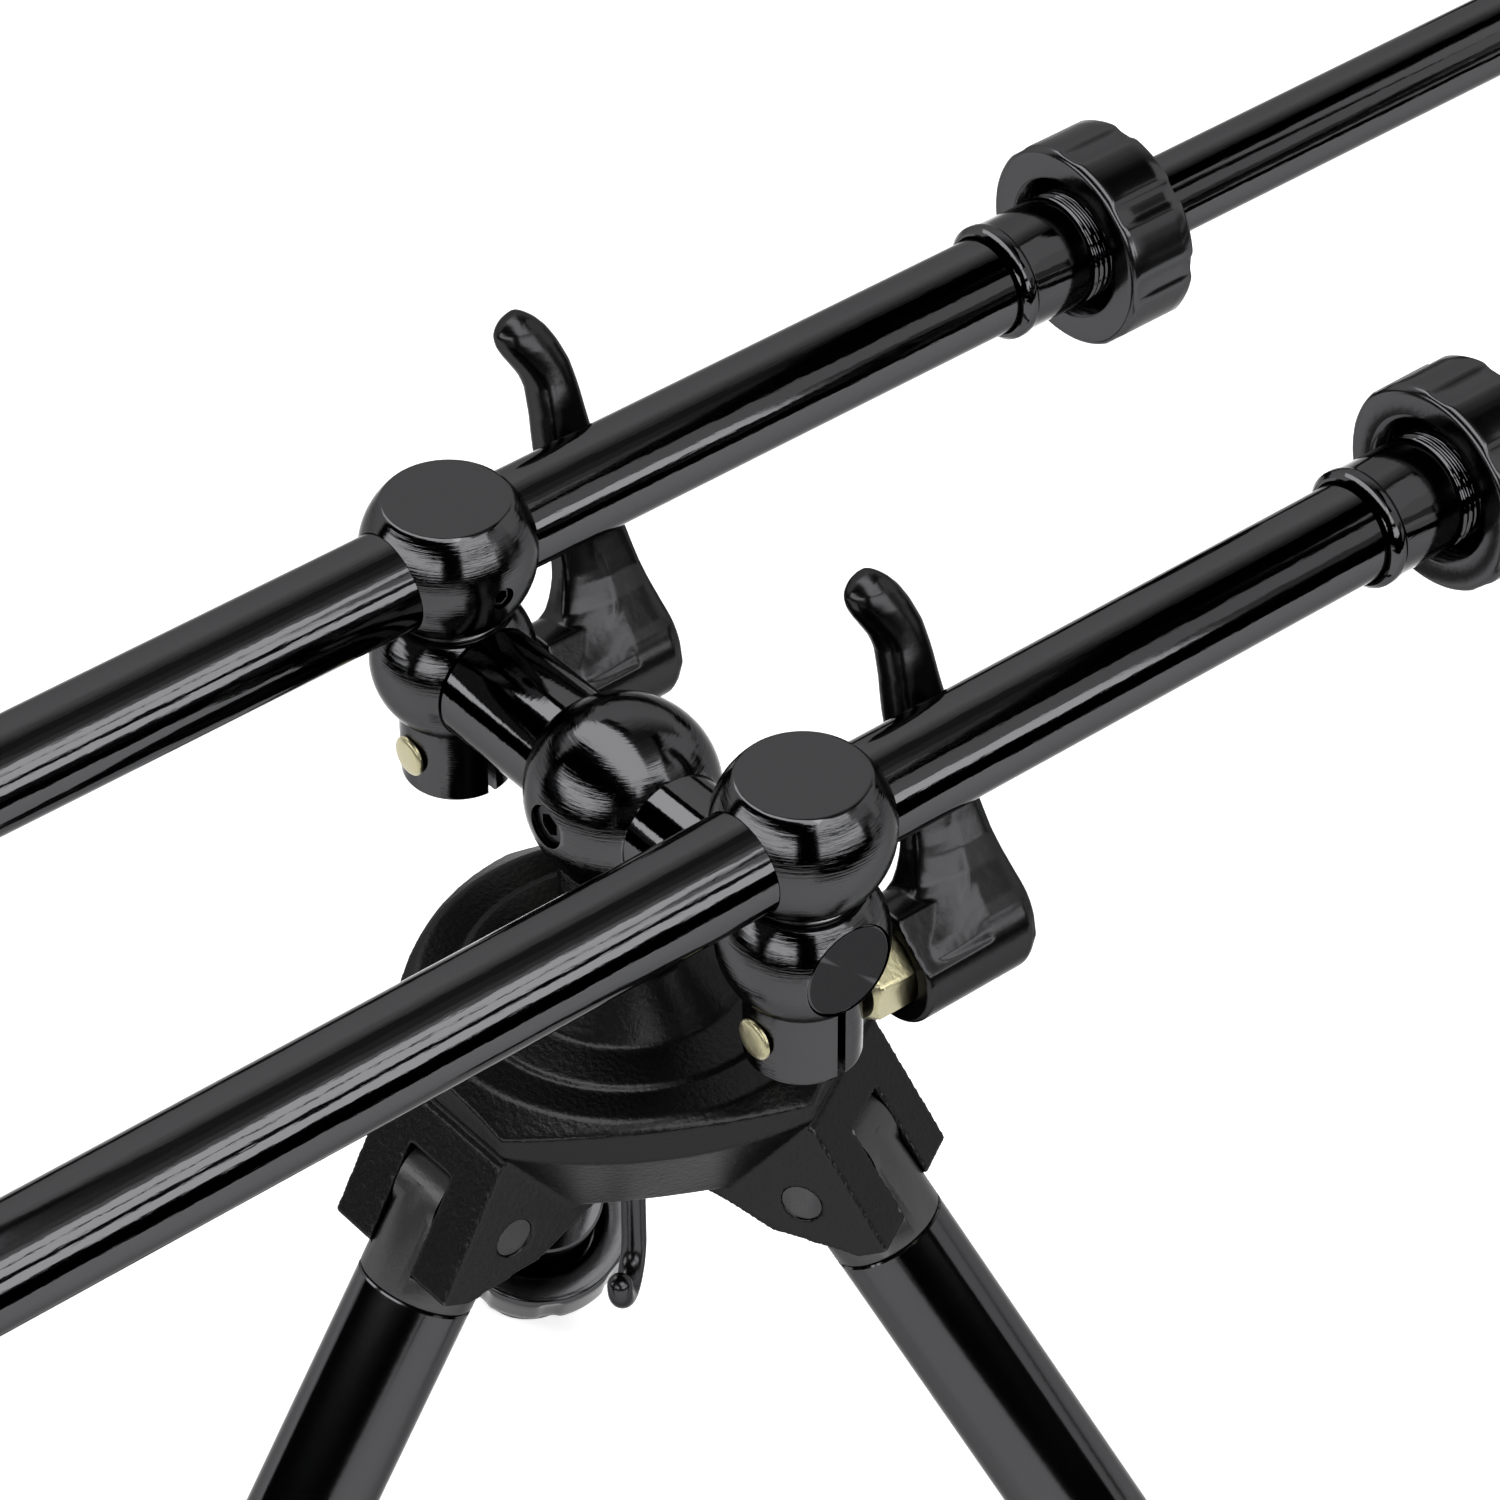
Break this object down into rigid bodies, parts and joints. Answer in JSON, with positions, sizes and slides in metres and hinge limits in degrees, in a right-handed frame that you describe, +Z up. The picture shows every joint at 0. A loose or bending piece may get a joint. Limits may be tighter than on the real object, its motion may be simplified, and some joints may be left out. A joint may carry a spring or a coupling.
{
  "type": "rod pod",
  "caption": "Tripod rod pod: folding telescopic legs, turning head, two clamped telescopic bars and buzz bars with threaded alarm holes.",
  "frame": {"origin": "on the ground under the centre post, at the centre of the whole part's footprint", "axes": "+Z up along the post, +Y along the bars to their front ends, +X along the crossbar"},
  "size_m": [0.36, 0.724, 0.351],
  "materials": {
    "cast_head": "satin black cast",
    "gloss_black": "gloss black anodised",
    "satin_black": "satin black anodised",
    "black_steel": "black oxide",
    "bright_steel": "bright",
    "brass": "plain",
    "black_plastic": "gloss",
    "nylon": "plain",
    "rubber": "matt"
  },
  "bodies": {
    "tripod_head": {"spider": "cast_head", "leg_pins": "black_steel", "post_bush": "nylon"},
    "turning_head": {"hub": "gloss_black", "hub_grub_screw": "black_steel", "crossbar": "gloss_black", "post_washer": "black_steel", "post_nut": "black_steel", "bag_hook": "black_steel"},
    "bar_frame": {"clamp_balls": "gloss_black", "bar_balls": "gloss_black", "neck_rings": "bright_steel", "bar_grub_screws": "black_steel", "clamp_bolts": "brass", "outer_tube_left": "gloss_black", "outer_tube_right": "gloss_black", "collet_bodies": "gloss_black", "bar_collets": "nylon", "rear_ends": "satin_black", "rear_buzz_bar": "satin_black", "rear_thumb_screws": "black_plastic"},
    "front_bar": {"inner_tube_left": "gloss_black", "inner_tube_right": "gloss_black", "front_ends": "satin_black", "front_buzz_bar": "satin_black", "front_thumb_screws": "black_plastic"},
    "lever_left": {"clamp_lever_left": "gloss_black", "brass_insert_left": "brass"},
    "bar_nut_left": {"bar_lock_nut_left": "black_plastic"},
    "lever_right": {"clamp_lever_right": "gloss_black", "brass_insert_right": "brass"},
    "bar_nut_right": {"bar_lock_nut_right": "black_plastic"},
    "leg_rear": {"leg_knuckle_rear": "satin_black", "leg_tube_rear": "gloss_black"},
    "leg_nut_rear": {"leg_lock_nut_rear": "black_plastic"},
    "lower_leg_rear": {"lower_tube_rear": "gloss_black", "rubber_foot_rear": "rubber"},
    "leg_right": {"leg_knuckle_right": "satin_black", "leg_tube_right": "gloss_black"},
    "leg_nut_right": {"leg_lock_nut_right": "black_plastic"},
    "lower_leg_right": {"lower_tube_right": "gloss_black", "rubber_foot_right": "rubber"},
    "leg_left": {"leg_knuckle_left": "satin_black", "leg_tube_left": "gloss_black"},
    "leg_nut_left": {"leg_lock_nut_left": "black_plastic"},
    "lower_leg_left": {"lower_tube_left": "gloss_black", "rubber_foot_left": "rubber"}
  },
  "joints": [
    {"name": "head_turn", "type": "hinge", "parent": "tripod_head", "child": "turning_head", "pos_m": [0, 0, 0.26974], "axis": [0, 0, 1], "continuous": true},
    {"name": "bar_tilt", "type": "hinge", "parent": "turning_head", "child": "bar_frame", "pos_m": [0, 0, 0.30324], "axis": [1, 0, 0], "range_deg": [-25, 25]},
    {"name": "front_slide", "type": "slide", "parent": "bar_frame", "child": "front_bar", "axis": [0, 1, 0], "range_m": [-0.15, 0.15]},
    {"name": "lever_left_turn", "type": "hinge", "parent": "bar_frame", "child": "lever_left", "pos_m": [-0.0489, 0.03, 0.28524], "axis": [0, -1, 0], "range_deg": [0, 75]},
    {"name": "bar_nut_left_turn", "type": "hinge", "parent": "bar_frame", "child": "bar_nut_left", "pos_m": [-0.0489, 0.1455, 0.32644], "axis": [0, 1, 0], "range_deg": [0, 180]},
    {"name": "lever_right_turn", "type": "hinge", "parent": "bar_frame", "child": "lever_right", "pos_m": [0.0489, 0.03, 0.28524], "axis": [0, -1, 0], "range_deg": [0, 75]},
    {"name": "bar_nut_right_turn", "type": "hinge", "parent": "bar_frame", "child": "bar_nut_right", "pos_m": [0.0489, 0.1455, 0.32644], "axis": [0, 1, 0], "range_deg": [0, 180]},
    {"name": "leg_rear_fold", "type": "hinge", "parent": "tripod_head", "child": "leg_rear", "pos_m": [0, -0.039, 0.23044], "axis": [1, 0, 0], "range_deg": [0, 33]},
    {"name": "leg_nut_rear_turn", "type": "hinge", "parent": "leg_rear", "child": "leg_nut_rear", "pos_m": [0, -0.15664, 0.04929], "axis": [0, -0.5446, -0.8387], "range_deg": [0, 180]},
    {"name": "lower_leg_rear_slide", "type": "slide", "parent": "leg_rear", "child": "lower_leg_rear", "axis": [0, -0.5446, -0.8387], "range_m": [0, 0.1137]},
    {"name": "leg_right_fold", "type": "hinge", "parent": "tripod_head", "child": "leg_right", "pos_m": [0.03377, 0.0195, 0.23044], "axis": [-0.5, 0.866, 0], "range_deg": [0, 33]},
    {"name": "leg_nut_right_turn", "type": "hinge", "parent": "leg_right", "child": "leg_nut_right", "pos_m": [0.13566, 0.07832, 0.04929], "axis": [0.4717, 0.2723, -0.8387], "range_deg": [0, 180]},
    {"name": "lower_leg_right_slide", "type": "slide", "parent": "leg_right", "child": "lower_leg_right", "axis": [0.4717, 0.2723, -0.8387], "range_m": [0, 0.1137]},
    {"name": "leg_left_fold", "type": "hinge", "parent": "tripod_head", "child": "leg_left", "pos_m": [-0.03377, 0.0195, 0.23044], "axis": [-0.5, -0.866, 0], "range_deg": [0, 33]},
    {"name": "leg_nut_left_turn", "type": "hinge", "parent": "leg_left", "child": "leg_nut_left", "pos_m": [-0.13566, 0.07832, 0.04929], "axis": [-0.4717, 0.2723, -0.8387], "range_deg": [0, 180]},
    {"name": "lower_leg_left_slide", "type": "slide", "parent": "leg_left", "child": "lower_leg_left", "axis": [-0.4717, 0.2723, -0.8387], "range_m": [0, 0.1137]}
  ]
}
